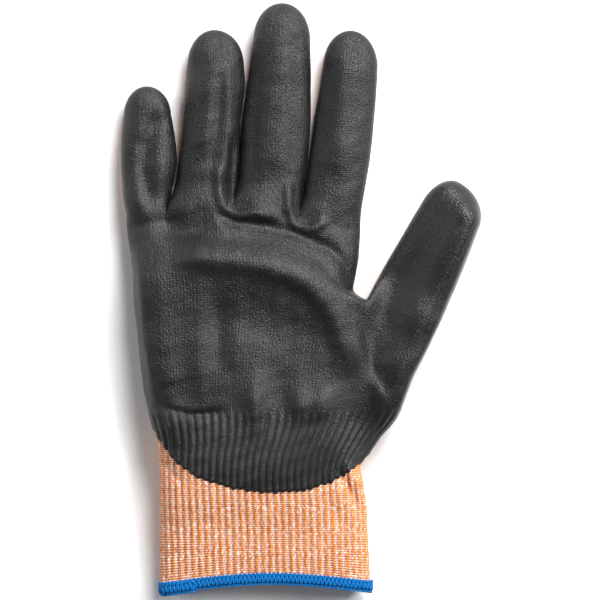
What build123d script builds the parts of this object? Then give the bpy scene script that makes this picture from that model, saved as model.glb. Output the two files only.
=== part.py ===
"""Cut resistant glove: a seamless knitted liner, its dipped palm coating and its rib cuff.

A right-hand glove lies on its back with the palm up. +X points to the thumb side, +Y to the
fingertips and +Z up, out of the palm. The origin is on the surface it lies on, under the middle
of its outline. All sizes are millimetres. Outlines are given at the outer skin, over the coating,
and each layer lies at its own depth under that skin.
"""

from build123d import *
import math
import os

# Layers, as depths under the outer skin
COAT = 0.6  # foam coating
LINER = 1.2  # knitted fabric
COATING_OUT = 0.0
LINER_OUT = COAT
CAVITY = COAT + LINER

# Lines across the hand, as distances along Y
CROTCH_Y = 34.0  # where the fingers part
KNUCKLE_Y = 47.0  # where each finger bends at its base
WRIST_Y = -66.0  # where the cuff bends
CUFF_END_Y = -120.6  # knitted edge inside the hem
FINGER_ROOT_Y = 14.0  # where the finger tubes start, inside the palm

# Slit between two parts that bend against each other
SLIT = 0.4

# Heights of the glove's top at its bending lines, where the hinges lie
KNUCKLE_TOP = 15.0
THUMB_BASE_TOP = 18.0
THUMB_MIDDLE_TOP = 15.5
WRIST_TOP = 21.0

# The coating comes down the sides to this height, and wraps right round the last of each finger
COAT_SIDE_Z = 5.0
COAT_WRIST_Z = 10.5
TIP_WRAP = 14.0
# The dip line at the wrist is half an oval, hanging down between the two sides of the wrist
DIP_LINE_MIDDLE_X = -16.0
DIP_LINE_HALF_WIDTH = 45.5
DIP_LINE_SIDE_Y = -57.0
DIP_LINE_DEPTH = 24.0

# Underside of the palm and cuff, before the glove's own weight presses it flat
PALM_LOW = -1.0

# Palm and wrist: y, left edge, right edge, underside, height
PALM = [
    (CROTCH_Y - 6.0, -72.3, 24.6, PALM_LOW, 18.6),
    (6.0, -70.3, 25.5, PALM_LOW, 25.0),
    (-18.0, -68.2, 34.5, PALM_LOW, 27.0),
    (-44.0, -64.8, 42.6, PALM_LOW, 25.0),
    (WRIST_Y, -59.4, 27.4, PALM_LOW, WRIST_TOP),
]
# The web is the palm's tapering end, seen between the fingers
WEB = [
    (CROTCH_Y - 6.0, -72.3, 24.6, PALM_LOW, 18.6),
    (CROTCH_Y - 1.0, -70.5, 23.0, 0.6, 16.0),
    (CROTCH_Y + 1.5, -66.0, 19.0, 3.5, 12.5),
]
# Cuff: y, left edge, right edge, underside, height
CUFF = [
    (WRIST_Y, -59.4, 27.4, PALM_LOW, WRIST_TOP),
    (-80.0, -59.2, 27.6, PALM_LOW, 20.4),
    (CUFF_END_Y, -59.2, 29.6, 0.3, 19.4),
]
CORNER_SHARE = 0.49  # corner radius of the palm's and cuff's sections, as a share of their height

# Fingers: stations (y, left edge, right edge, height) from the palm to the crown, then the tip
FINGERS = {
    "little": {
        "stations": [
            (FINGER_ROOT_Y, -69.8, -53.0, 17.0),
            (CROTCH_Y, -73.0, -55.6, 15.6),
            (KNUCKLE_Y, -74.5, -53.6, 14.6),
            (58.0, -75.4, -52.4, 14.2),
            (68.0, -75.4, -53.3, 13.6),
            (78.0, -74.3, -55.0, 12.6),
        ],
        "tip": (-65.0, 89.8),
        "middle_y": 67.0,
    },
    "ring": {
        "stations": [
            (FINGER_ROOT_Y, -56.0, -30.0, 18.0),
            (CROTCH_Y, -55.6, -27.8, 16.4),
            (KNUCKLE_Y, -52.8, -27.6, KNUCKLE_TOP),
            (58.0, -51.3, -26.5, 14.8),
            (77.0, -49.3, -25.5, 14.2),
            (90.0, -48.5, -23.2, 13.4),
            (100.0, -47.3, -24.1, 12.6),
        ],
        "tip": (-36.4, 113.6),
        "middle_y": 82.0,
    },
    "middle": {
        "stations": [
            (FINGER_ROOT_Y, -27.0, -2.0, 18.5),
            (CROTCH_Y, -27.8, -0.8, 16.6),
            (KNUCKLE_Y, -26.0, 0.9, KNUCKLE_TOP),
            (58.0, -25.0, 2.8, 14.8),
            (77.0, -24.4, 4.0, 14.3),
            (95.0, -21.7, 4.0, 13.6),
            (111.0, -19.3, 3.6, 12.6),
        ],
        "tip": (-7.8, 125.0),
        "middle_y": 88.0,
    },
    "index": {
        "stations": [
            (FINGER_ROOT_Y, -0.5, 23.6, 18.0),
            (CROTCH_Y, -0.8, 25.0, 16.4),
            (KNUCKLE_Y, 1.6, 27.0, KNUCKLE_TOP),
            (58.0, 3.6, 28.8, 14.8),
            (72.0, 5.4, 30.2, 14.3),
            (85.0, 7.8, 31.4, 13.6),
            (99.0, 9.9, 32.2, 12.6),
        ],
        "tip": (21.0, 113.3),
        "middle_y": 82.0,
    },
}
CROWN_STEPS = 5  # rings in a rounded fingertip
CROWN_LAST = 82.0  # degrees round the crown at its last ring

# Thumb, along its own axis: distance, inner edge, outer edge, height, then the tip
THUMB_LEAN = 27.0  # degrees from +Y towards +X
THUMB = {
    "stations": [
        (-32.0, 36.0, 50.0, 15.0),
        (-12.0, 27.5, 57.0, 22.0),
        (8.0, 25.4, 56.4, 20.0),
        (22.0, 25.6, 55.9, THUMB_BASE_TOP),
        (34.0, 26.0, 55.4, 16.6),
        (46.0, 26.5, 54.5, THUMB_MIDDLE_TOP),
        (58.0, 27.1, 53.2, 14.4),
    ],
    "tip": (36.5, 74.0),
    "base_s": 22.0,
    "middle_s": 46.0,
}

# Overlocked hem round the cuff's edge
HEM_TOP_Y = -117.6
HEM_END_Y = -122.2
HEM_OVER = 0.9  # thread over each face of the fabric
HEM_LAP_RIGHT_X = -46.0  # the stitching's tail is folded back under the hem's left corner
HEM_LAP_END_Y = -125.0
HEM_LAP_LOW_Z = 9.0
HEM_LAP_OVER = 0.6

# Elastic yarns laid in the cuff's inner face
ELASTIC_DIAMETER = 0.5
ELASTIC_PITCH = 3.4
ELASTIC_COUNT = 13
ELASTIC_START_Y = -72.0
ELASTIC_CLEAR = 0.15

FAR = 400.0  # larger than the glove, for the blocks that trim it


def block(x_low, x_high, y_low, y_high, z_low, z_high):
    """A box between two corners."""
    size = (x_high - x_low, y_high - y_low, z_high - z_low)
    middle = ((x_low + x_high) / 2, (y_low + y_high) / 2, (z_low + z_high) / 2)
    return Pos(*middle) * Box(*size)


def between(y_low, y_high):
    """Everything between two planes across Y."""
    return block(-FAR, FAR, y_low, y_high, -FAR, FAR)


def above(z):
    """Everything above a height."""
    return block(-FAR, FAR, -FAR, FAR, z, FAR)


def across(y, x, z):
    """A plane across Y, for a section centred on x and z."""
    return Plane(origin=(x, y, z), x_dir=(1, 0, 0), z_dir=(0, 1, 0))


def oval(y, left, right, low, high, depth):
    """An oval section of a finger tube, set in from the skin by depth."""
    place = across(y, (left + right) / 2, (low + high) / 2)
    return place * Ellipse((right - left) / 2 - depth, (high - low) / 2 - depth)


def pillow(y, left, right, low, high, depth):
    """A flat section with round sides, for the palm and the cuff."""
    width = right - left - 2 * depth
    height = high - low - 2 * depth
    place = across(y, (left + right) / 2, (low + high) / 2)
    return place * RectangleRounded(width, height, CORNER_SHARE * height)


def tube_with_crown(stations, tip, depth):
    """A finger-shaped solid: ovals through its stations, then a rounded crown to the tip."""
    sections = [oval(y, left, right, 0, high, depth) for y, left, right, high in stations]
    y0, left, right, high = stations[-1]
    tip_x, tip_y = tip
    middle_x = (left + right) / 2
    for k in range(1, CROWN_STEPS + 1):
        turn = math.radians(CROWN_LAST * k / CROWN_STEPS)
        reach, shrink = math.sin(turn), math.cos(turn)
        x = middle_x + (tip_x - middle_x) * (1 - shrink)
        y = y0 + (tip_y - depth - y0) * reach
        half_width = ((right - left) / 2 - depth) * shrink
        half_height = (high / 2 - depth) * shrink
        sections.append(across(y, x, high / 2) * Ellipse(half_width, half_height))
    return loft(sections)


def finger(name, depth):
    """A whole finger tube, at one layer."""
    shape = FINGERS[name]
    return tube_with_crown(shape["stations"], shape["tip"], depth)


def thumb_axis():
    """The thumb's own frame: its Y runs along the thumb."""
    return Rot(0, 0, -THUMB_LEAN)


def thumb(depth):
    """The whole thumb tube, at one layer."""
    tube = tube_with_crown(THUMB["stations"], THUMB["tip"], depth)
    return thumb_axis() * tube


def palm(depth):
    """The palm's form at one layer, with the web between the fingers."""
    body = loft([pillow(*station, depth) for station in PALM])
    return body + loft([pillow(*station, depth) for station in WEB], ruled=True)


def cuff(depth):
    """The cuff's form, at one layer."""
    body = loft([pillow(*station, depth) for station in CUFF], ruled=True)
    return body & above(depth - LINER_OUT)


def finger_root(name, depth):
    """The stub of a finger tube that belongs to the palm."""
    return finger(name, depth) & between(-FAR, KNUCKLE_Y - SLIT / 2)


def thumb_between(s_low, s_high):
    """Everything between two planes across the thumb."""
    return thumb_axis() * between(s_low, s_high)


def thumb_root(depth):
    """The stub of the thumb tube that belongs to the palm."""
    return thumb(depth) & thumb_between(-FAR, THUMB["base_s"] - SLIT / 2)


def hand(depth):
    """The palm with the stubs of its fingers and thumb, as one form with its underside flat."""
    form = palm(depth)
    for name in FINGERS:
        form += finger_root(name, depth)
    form += thumb_root(depth)
    return form & above(depth - LINER_OUT)


def dip_region():
    """What was dipped at the wrist: all above the side line, and the half oval below it."""
    outline = Ellipse(DIP_LINE_HALF_WIDTH, DIP_LINE_DEPTH)
    tongue = Pos(DIP_LINE_MIDDLE_X, DIP_LINE_SIDE_Y, COAT_WRIST_Z) * extrude(outline, FAR)
    return tongue + between(DIP_LINE_SIDE_Y, FAR)


def palm_parts():
    """The palm's liner, open at the wrist and into each finger, and its coating."""
    outer, inner = hand(LINER_OUT), hand(CAVITY)
    own = between(WRIST_Y + SLIT / 2, FAR)
    coated = own & above(COAT_SIDE_Z) & dip_region()
    return {
        "palm_liner": (outer - inner) & own,
        "palm_coating": (hand(COATING_OUT) - outer) & coated,
    }


def segment_parts(prefix, skin, fabric, inside, trim, wrap_from=None):
    """One bending segment of a finger or the thumb: its length of liner, and the coating on it."""
    coated = above(COAT_SIDE_Z)
    if wrap_from is not None:
        coated += wrap_from
    return {
        f"{prefix}_liner": (fabric - inside) & trim,
        f"{prefix}_coating": (skin - fabric) & trim & coated,
    }


def finger_parts(name):
    """A finger tube in two segments, either side of its middle joint."""
    layers = [finger(name, depth) for depth in (COATING_OUT, LINER_OUT, CAVITY)]
    middle_y = FINGERS[name]["middle_y"]
    tip_y = FINGERS[name]["tip"][1]
    base = between(KNUCKLE_Y + SLIT / 2, middle_y - SLIT / 2)
    tip = between(middle_y + SLIT / 2, FAR)
    parts = segment_parts(f"{name}_finger_base", *layers, base)
    parts |= segment_parts(f"{name}_finger_tip", *layers, tip, between(tip_y - TIP_WRAP, FAR))
    return parts


def thumb_parts():
    """The thumb tube in two segments, either side of its middle joint."""
    layers = [thumb(depth) for depth in (COATING_OUT, LINER_OUT, CAVITY)]
    base_s, middle_s = THUMB["base_s"], THUMB["middle_s"]
    tip_s = THUMB["tip"][1]
    base = thumb_between(base_s + SLIT / 2, middle_s - SLIT / 2)
    tip = thumb_between(middle_s + SLIT / 2, FAR)
    parts = segment_parts("thumb_base", *layers, base)
    parts |= segment_parts("thumb_tip", *layers, tip, thumb_between(tip_s - TIP_WRAP, FAR))
    return parts


def cuff_station(y):
    """The cuff's section at y, between the stations either side of it: left, right, low, high."""
    for (y0, *first), (y1, *last) in zip(CUFF, CUFF[1:]):
        if y1 <= y <= y0:
            share = (y0 - y) / (y0 - y1)
            return [a + share * (b - a) for a, b in zip(first, last)]
    return CUFF[-1][1:]


def elastic_yarn(y):
    """One hoop of covered elastic, against the inside of the cuff."""
    left, right, low, high = cuff_station(y)
    radius = ELASTIC_DIAMETER / 2
    inset = CAVITY + ELASTIC_CLEAR + radius
    floor = LINER + ELASTIC_CLEAR + radius
    section = pillow(y, left + inset, right - inset, max(low + inset, floor), high - inset, 0)
    path = section.faces()[0].outer_wire()
    start = Plane(origin=path @ 0, z_dir=path % 0)
    return sweep(start * Circle(radius), path=path)


def hem_band(y_top, y_end, over):
    """A band round the cuff's edge, over both faces of its fabric."""
    left, right, low, high = cuff_station(CUFF_END_Y)
    ends = (y_top, y_end)
    outer = loft([pillow(y, left, right, low, high, LINER_OUT - over) for y in ends])
    inner = loft([pillow(y, left, right, low, high, CAVITY + over) for y in ends])
    return outer - inner


def cuff_parts():
    """The cuff, its elastic yarns, the coating's tongue, the hem and the hem's folded tail."""
    outer, inner = cuff(LINER_OUT), cuff(CAVITY)
    own = between(-FAR, WRIST_Y - SLIT / 2)
    fabric = (outer - inner) & own
    tail = block(-FAR, HEM_LAP_RIGHT_X, -FAR, FAR, HEM_LAP_LOW_Z, FAR)
    yarns = [elastic_yarn(ELASTIC_START_Y - ELASTIC_PITCH * i) for i in range(ELASTIC_COUNT)]
    return {
        "rib_cuff": fabric,
        "wrist_coating": (cuff(COATING_OUT) - outer) & own & above(COAT_SIDE_Z) & dip_region(),
        "cuff_elastic": Compound(children=yarns),
        "cuff_hem": hem_band(HEM_TOP_Y, HEM_END_Y, HEM_OVER) - fabric,
        "hem_lap": hem_band(HEM_END_Y, HEM_LAP_END_Y, HEM_LAP_OVER) & tail,
    }


def all_parts():
    """Every node by name."""
    parts = palm_parts()
    for name in FINGERS:
        parts |= finger_parts(name)
    parts |= thumb_parts()
    parts |= cuff_parts()
    return parts


def main():
    os.makedirs("parts", exist_ok=True)
    for name, shape in all_parts().items():
        export_step(shape, f"parts/{name}.step")


main()
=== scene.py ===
"""Looks for the cut resistant glove: knitted liner, foam coating, rib cuff and overlocked hem.

Lengths are millimetres until a mesh is written, in the row frame: +Y to the fingertips, +X to the
thumb, +Z out of the palm. The fabric is one grid of wales (columns) and courses (rows), as on the
knitting machine: it starts at the cuff, parts at the thumb and again between the fingers.
"""
import math

import bpy
import numpy as np
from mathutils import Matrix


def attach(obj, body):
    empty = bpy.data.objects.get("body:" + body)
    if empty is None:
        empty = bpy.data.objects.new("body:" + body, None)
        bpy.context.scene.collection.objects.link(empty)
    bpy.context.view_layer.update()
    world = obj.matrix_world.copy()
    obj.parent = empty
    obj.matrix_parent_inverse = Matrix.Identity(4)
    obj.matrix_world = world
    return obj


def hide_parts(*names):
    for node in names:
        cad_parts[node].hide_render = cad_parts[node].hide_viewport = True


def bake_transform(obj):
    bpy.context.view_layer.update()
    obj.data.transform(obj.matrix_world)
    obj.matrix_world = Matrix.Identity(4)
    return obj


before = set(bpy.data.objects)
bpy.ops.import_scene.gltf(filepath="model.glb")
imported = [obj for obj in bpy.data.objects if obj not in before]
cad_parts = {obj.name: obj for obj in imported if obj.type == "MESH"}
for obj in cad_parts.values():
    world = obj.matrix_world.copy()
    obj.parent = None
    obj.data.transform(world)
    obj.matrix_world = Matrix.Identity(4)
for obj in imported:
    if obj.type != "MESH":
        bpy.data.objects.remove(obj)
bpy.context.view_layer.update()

RNG = np.random.default_rng(7)

# Fabric grid
WALES = 224  # columns across the palm side of the cuff
WALES_PER_RIB = 7
COURSE = 0.8  # distance between rows of the grid
STITCH_ROW = 0.92  # height of one stitch
SIDE = 12  # columns down each side of a finger, in a web
CORNER = 0.62  # how far up and down a side those columns reach, as a share of half its height
LINER_THICK = 1.1
COAT_OVER = 0.5  # about how far the coating stands over the knit, and then how far it reaches in
COAT_UNDER = 0.4

CUFF_END, HAND_TOP = -118.4, 34.0  # the grid's first row, and the row where the fingers part

# Outline of palm and cuff: (y, x)
LEFT = [(-121.5, -58.9), (-100, -58.7), (-70, -59.0), (-59.8, -59.6), (-53, -61.7), (-46, -63.8),
        (-39.6, -65.4), (-26, -67.1), (-12.6, -68.4), (0.8, -70.1), (14, -70.6), (21, -71.1),
        (28, -72.2), (34.5, -73.0), (48, -74.7)]
RIGHT = [(-121.5, 29.6), (-100, 28.0), (-87, 27.5), (-78, 26.3), (-73, 25.2), (-70, 24.6),
         (-67, 26.6), (-63, 29.3), (-56.4, 33.9), (-53, 37.2), (-49.7, 39.8), (-46.3, 41.9),
         (-32.8, 46.9), (-19.4, 53.7), (-14.4, 56.0), (-5.9, 60.0)]
HAND_RIGHT = [(0.0, 27.6), (0.4, 25.5), (1.6, 23.4), (3.0, 22.4), (5.6, 22.0), (7.6, 22.1),
              (21, 24.2), (34.5, 25.0), (41, 25.9)]
# Height of palm and cuff: (y, z)
HEIGHT = [(-115.4, 18.4), (-84, 23.4), (-66, 24.5), (-52, 24.2), (-44, 24.5), (-18, 25.2),
          (6, 24.6), (20, 22.2), (28, 19.6), (36, 17.0)]
# The crotches beside the thumb and between the fingers, and the row through those: (x, y)
THUMB_CROTCH = (27.6, 0.0)
CROTCHES = [(-56.8, 32.8), (-27.9, 39.0), (-0.6, 33.7)]
CROTCH_ROW = [(-76.0, 30.0), (-56.8, 32.8), (-42.0, 37.2), (-27.9, 39.0), (-14.0, 37.2),
              (-0.6, 33.7), (12.0, 31.5), (26.0, 28.0)]

# Fingers: stations (y, left, right, height), the tip (x, y) and the middle joint's y
FINGERS = {
    "little": ([(34, -73.0, -56.8, 16.4), (41, -74.3, -55.6, 15.4), (48, -74.8, -54.2, 14.8),
                (58, -75.4, -52.4, 14.2), (65, -75.4, -52.9, 13.8), (71.5, -75.0, -53.8, 13.2),
                (78, -74.2, -55.0, 12.6)], (-65.0, 89.9), 67.0),
    "ring": ([(36, -56.8, -27.9, 17.0), (43, -53.6, -27.6, 15.8), (50, -52.0, -27.2, 15.2),
              (58, -51.1, -26.4, 14.8), (68, -50.2, -26.0, 14.5), (77, -49.4, -25.5, 14.2),
              (91, -48.3, -23.6, 13.4), (100, -47.2, -24.4, 12.6)], (-36.4, 113.7), 82.0),
    "middle": ([(36, -27.4, -0.8, 17.0), (43, -26.8, 0.6, 15.8), (50, -26.0, 1.4, 15.2),
                (58, -25.2, 2.7, 14.8), (75, -24.4, 4.0, 14.4), (95, -21.6, 4.0, 13.6),
                (105, -20.4, 3.7, 13.0), (111, -19.3, 3.6, 12.6)], (-7.8, 125.0), 88.0),
    "index": ([(34, -0.6, 25.0, 17.0), (41, 0.6, 25.9, 15.8), (48, 2.0, 27.1, 15.2),
               (58, 3.6, 28.8, 14.8), (68, 5.2, 30.0, 14.4), (77, 6.1, 30.8, 14.0),
               (85, 7.6, 31.5, 13.6), (98.5, 9.9, 32.2, 12.6)], (21.0, 113.4), 82.0),
}

# The thumb: stations and tip as above, but measured along and across its own leaning axis
LEAN = math.radians(27.0)
THUMB_AXIS = np.array([math.sin(LEAN), math.cos(LEAN), 0.0])
THUMB_ACROSS = np.array([math.cos(LEAN), -math.sin(LEAN), 0.0])
THUMB = ([(12.5, 25.2, 56.3, 17.8), (22, 25.2, 56.0, 17.4), (34, 25.7, 55.5, 17.6),
          (44, 26.3, 54.6, 17.9), (54, 26.8, 53.6, 18.2), (60, 27.3, 52.9, 18.4)], (36.8, 74.0))

# Bending zones: where each piece starts and where its joint's turn starts and ends
WRIST_CUT, WRIST_BEND = -56.5, (-57.5, -77.0)
THUMB_BASE_BEND, THUMB_TIP_BEND = (14.0, 31.0), (37.5, 55.0)
TIP_ZONE = 8.5  # half the length over which a middle joint turns

RIBS_FROM = -45.0  # ribs show below this line
SIDE_Z = 5.0  # the coating's edge on the sides
WRAP = 14.0  # the coating goes right round this much of each tip
DIP = [(-66.0, -50.0), (-62.0, -53.0), (-60.0, -57.2), (-52.4, -68.2), (-41.9, -74.9), (-29.3, -78.7),
       (-14.5, -80.8), (0.2, -80.0), (12.8, -76.6), (19.2, -72.8), (25.5, -67.8), (28.5, -64.8),
       (40.0, -67.0)]


def table(points, at):
    """The value of a table of (position, value) at each position."""
    xs, ys = zip(*points)
    return np.interp(at, xs, ys)


def smooth(t):
    """0 below 0 and 1 above 1, with an even start and end."""
    t = np.clip(t, 0.0, 1.0)
    return t * t * (3 - 2 * t)


def wave(points, scale, seed):
    """Slow irregular variation between about -1 and 1, the same on every run."""
    rng = np.random.default_rng(seed)
    total = np.zeros(len(points))
    for _ in range(7):
        way = rng.normal(size=3)
        way /= np.linalg.norm(way)
        total += np.sin(points @ way * (2 * math.pi / scale) * rng.uniform(0.6, 1.7) + rng.uniform(0, 6.3))
    return total / 3.2


def run_along(points):
    """Distance along a row of points, from its first."""
    return np.concatenate([[0], np.cumsum(np.linalg.norm(np.diff(points, axis=0), axis=1))])


def section(left, right, high, power, runs, corner):
    """Points round one section, (x, z): along the top, down the right, back below, up the left.

    runs is the number of columns of each; a side with none ends in the section's outermost point.
    """
    across = -np.cos(np.linspace(0.0, math.pi, 241))
    lift = np.sqrt(np.clip(1 - np.abs(across) ** power, 0, 1))
    half, tall, mid = (right - left) / 2, high / 2, (left + right) / 2
    top = np.stack([mid + half * across, tall + tall * lift], axis=1)
    low = np.stack([mid - half * across, tall - tall * lift], axis=1)[1:]
    loop = np.concatenate([top, low])
    step = run_along(loop)
    whole, half_way = step[-1], step[len(top) - 1]
    cut_right = corner * tall if runs[1] else 0.0
    cut_left = corner * tall if runs[3] else 0.0
    marks = [cut_left, half_way - cut_right, half_way + cut_right, whole - cut_left, whole + cut_left]
    at = np.concatenate([
        np.linspace(marks[i], marks[i + 1], n, endpoint=False) for i, n in enumerate(runs) if n
    ])
    at = np.mod(at, whole)
    return np.stack([np.interp(at, step, loop[:, 0]), np.interp(at, step, loop[:, 1])], axis=1)


class Fabric:
    """The grid: points, wale and course of each, and faces with the segment each belongs to."""

    def __init__(self):
        self.points, self.wale, self.course = [], [], []
        self.faces, self.segment = [], []
        self.count = 0

    def row(self, points, wale, course):
        """Adds points and gives their indices."""
        start = self.count
        self.points.append(points)
        self.wale.append(np.asarray(wale, float))
        self.course.append(np.broadcast_to(np.asarray(course, float), (len(points),)))
        self.count += len(points)
        return np.arange(start, self.count)

    def join(self, ring, new, segment):
        """Faces between one closed ring and the next."""
        a, b = ring, np.roll(ring, -1)
        c, d = np.roll(new, -1), new
        self.faces.append(np.stack([a, b, c, d], axis=1))
        self.segment.append(np.full(len(ring), segment))

    def close(self, ring, tip, segment):
        """Closes a ring on one point."""
        n = len(ring)
        self.faces.append(np.stack([ring, np.roll(ring, -1), np.full(n, tip), np.full(n, -1)], axis=1))
        self.segment.append(np.full(n, segment))


SEGMENTS = ["cuff", "palm"]
for finger_name in (*FINGERS, "thumb"):
    SEGMENTS += [f"{finger_name}_base", f"{finger_name}_tip"]
SEG = {name: i for i, name in enumerate(SEGMENTS)}

fabric = Fabric()


def lower_rows():
    """Cuff and lower palm, from the cuff's edge to the thumb's crotch."""
    ring = None
    even = np.linspace(-9, 9, 19)
    for y in np.linspace(CUFF_END, 0.0, 149):
        # Above the wrist the rows slope down to where the thumb's outline leaves the palm's
        rise = np.clip((y + 52.0) / 52.0, 0, 1)
        y_right = -52.0 + rise * 37.6 if y > -52 else y
        left, right = table(LEFT, y), table(RIGHT, y_right)
        power = 3.6 - 0.4 * smooth((y + 60) / 60)
        # Sections follow the outline averaged over 18 mm, and only their right edge its every bend
        calm_right = table(RIGHT, y_right + even).mean()
        xz = section(left, calm_right, table(HEIGHT, y), power, (WALES, 0, WALES, 0), 0)
        xz[:, 0] += (right - calm_right) * smooth((xz[:, 0] - calm_right + 16.0) / 16.0)
        lean = np.clip((xz[:, 0] - 24.0) / (right - 24.0), 0, 1)
        points = np.stack([xz[:, 0], y + (y_right - y) * lean, xz[:, 1]], axis=1)
        index = fabric.row(points, np.arange(2 * WALES), y / COURSE)
        if ring is not None:
            fabric.join(ring, index, SEG["cuff"] if y <= WRIST_CUT else SEG["palm"])
        ring = index
    return ring


def points_at(i):
    """The point or points with index i."""
    return np.concatenate(fabric.points)[i]


def wale_at(i):
    """The wale of each point with index i."""
    return np.concatenate(fabric.wale)[i]


def course_at(i):
    """The course of each point with index i."""
    return np.concatenate(fabric.course)[i]


def nearest(row, x):
    """Which point of a row lies nearest to x."""
    return int(np.argmin(np.abs(points_at(row)[:, 0] - x)))


def below(ring, i):
    """The point of a ring's back that lies under point i of its palm side."""
    return ring[(len(ring) - i) % len(ring)]


def back_row(ring, first, after):
    """A ring's back points under first, first - 1 and so on, stopping short of after."""
    return [below(ring, i) for i in range(first, after, -1)]


def web(top, low, swell):
    """The fabric from one point of the palm side to one of the back, between two tubes."""
    t = np.linspace(0, 1, SIDE + 1)[1:-1, None]
    a, b = points_at(top), points_at(low)
    line = a + (b - a) * t
    line[:, 1] += swell * np.sin(math.pi * t[:, 0])
    return fabric.row(line, wale_at(top) + np.linspace(0.5, SIDE, SIDE - 1), course_at(top))


def tube(root, runs, name, cut, stations, tip, place, direction, first_course, power, blend_length):
    """Rows from a root ring along a finger to its closed tip; its tip segment starts at cut."""
    start, wales = points_at(root), wale_at(root)
    rows = np.array(stations, float)
    s_start = float((start @ direction).mean())
    s_end = rows[-1, 0]
    tip_x, tip_s = tip
    steps = int(round((s_end - s_start) / COURSE))
    crown = [math.radians(a) for a in np.linspace(0, 86, 19)[1:]]
    plan = [(s_start + (s_end - s_start) * (k + 1) / steps, 0.0) for k in range(steps)]
    plan += [(s_end + (tip_s - s_end) * math.sin(a), a) for a in crown]
    ring = root
    for s, turn in plan:
        left, right, high = (np.interp(min(s, s_end), rows[:, 0], rows[:, c]) for c in (1, 2, 3))
        xz = section(left, right, high, power, runs, CORNER)
        if turn > 0:
            shrink = math.cos(turn)
            middle = (left + right) / 2
            centre = middle + (tip_x - middle) * (1 - shrink)
            xz = (xz - [middle, high / 2]) * shrink + [centre, high / 2]
        along = s - s_start
        w = smooth(along / blend_length)
        points = place(xz, s) * w + (start + direction * along) * (1 - w)
        index = fabric.row(points, wales, first_course + along / COURSE)
        piece = SEG[name + ("_base" if s < cut else "_tip")]
        fabric.join(ring, index, piece)
        ring = index
    end = place(np.array([[tip_x, high / 2]]), tip_s)
    pole = fabric.row(end, [wales.mean()], first_course + along / COURSE)
    fabric.close(ring, pole[0], piece)


def place_upright(xz, s):
    """A finger's section at s along +Y."""
    return np.stack([xz[:, 0], np.full(len(xz), s), xz[:, 1]], axis=1)


def place_thumb(xz, s):
    """The thumb's section at s along its own axis."""
    return THUMB_AXIS * s + xz[:, :1] * THUMB_ACROSS + np.array([0, 0, 1.0]) * xz[:, 1:]


def upper_rows(ring, split):
    """The palm from the thumb's crotch to the fingers', split being its last point on the palm side."""
    runs = (split, SIDE, split, 0)
    start, wales = points_at(ring), wale_at(ring)
    steps = int(round(HAND_TOP / COURSE))
    for k in range(1, steps + 1):
        t = k / steps
        y = HAND_TOP * t
        calm_right = THUMB_CROTCH[0] - 3.0 * smooth(y / HAND_TOP)
        xz = section(table(LEFT, y), calm_right, table(HEIGHT, y), 3.2, runs, CORNER)
        xz[:, 0] += (table(HAND_RIGHT, y) - calm_right) * smooth((xz[:, 0] - calm_right + 14.0) / 14.0)
        ys = start[:, 1] * (1 - t) + table(CROTCH_ROW, xz[:, 0]) * t
        ideal = np.stack([xz[:, 0], ys, xz[:, 1]], axis=1)
        w = smooth(y / (5.0 + 19.0 * smooth((21.0 - xz[:, 0]) / 20.0)))[:, None]
        points = ideal * w + np.stack([start[:, 0], ys, start[:, 2]], axis=1) * (1 - w)
        index = fabric.row(points, wales, y / COURSE)
        fabric.join(ring, index, SEG["palm"])
        ring = index
    return ring


def finger_tubes(ring, split):
    """The webs between the fingers, then the four tubes, from the little finger's side."""
    top = ring[:split + 1]
    cuts = [nearest(top, x) for x, _ in CROTCHES]
    webs = [web(top[c], below(ring, c), 1.2) for c in cuts]
    rights = [*webs, ring[split + 1:split + SIDE]]
    edges = [0, *cuts, split]
    for k, (name, (stations, tip, middle_y)) in enumerate(FINGERS.items()):
        a, b = edges[k], edges[k + 1]
        loop = [*top[a:b + 1], *rights[k], *back_row(ring, b, a)]
        if k > 0:
            loop += [below(ring, a), *webs[k - 1][::-1]]
        runs = (b - a, SIDE, b - a, SIDE if k > 0 else 0)
        tube(np.array(loop), runs, name, middle_y - TIP_ZONE - 0.5, stations, tip, place_upright,
             np.array([0, 1.0, 0]), HAND_TOP / COURSE, 2.2, 13.0)


def build_fabric():
    """Knits the whole grid: cuff and lower palm, thumb, upper palm, fingers."""
    last = lower_rows()
    tops = last[:WALES + 1]
    split = nearest(tops, THUMB_CROTCH[0])
    beside = web(tops[split], below(last, split), 0.6)
    thumb_ring = np.array([*tops[split:WALES], *back_row(last, WALES, split - 1), *beside[::-1]])
    thumb_runs = (WALES - split, 0, WALES - split, SIDE)
    tube(thumb_ring, thumb_runs, "thumb", THUMB_TIP_BEND[0] - 0.5, *THUMB, place_thumb, THUMB_AXIS,
         0.0, 3.0, 18.0)
    hand_ring = np.array([*tops[:split + 1], *beside, *back_row(last, split, 0)])
    finger_tubes(upper_rows(hand_ring, split), split)


build_fabric()
cloth = np.concatenate(fabric.points)
wale = np.concatenate(fabric.wale)
course = np.concatenate(fabric.course)
faces = np.concatenate(fabric.faces)
segment = np.concatenate(fabric.segment)


def quads_and_tris(some):
    """Four-sided and three-sided faces apart; a triangle's fourth index is -1."""
    return some[some[:, 3] >= 0], some[some[:, 3] < 0][:, :3]


def sides_of(quads, tris):
    """The sides of faces, as pairs of indices."""
    pairs = [quads[:, [i, (i + 1) % 4]] for i in range(4)] + [tris[:, [i, (i + 1) % 3]] for i in range(3)]
    return np.concatenate(pairs)


def corners():
    """The four corners of every face; a triangle's third comes twice."""
    return faces[:, 0], faces[:, 1], faces[:, 2], np.where(faces[:, 3] < 0, faces[:, 2], faces[:, 3])


def points_of(name):
    """Indices of the points in either segment of a finger or the thumb."""
    used = np.unique(faces[np.isin(segment, [SEG[name + "_base"], SEG[name + "_tip"]])])
    return used[used >= 0]


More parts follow.
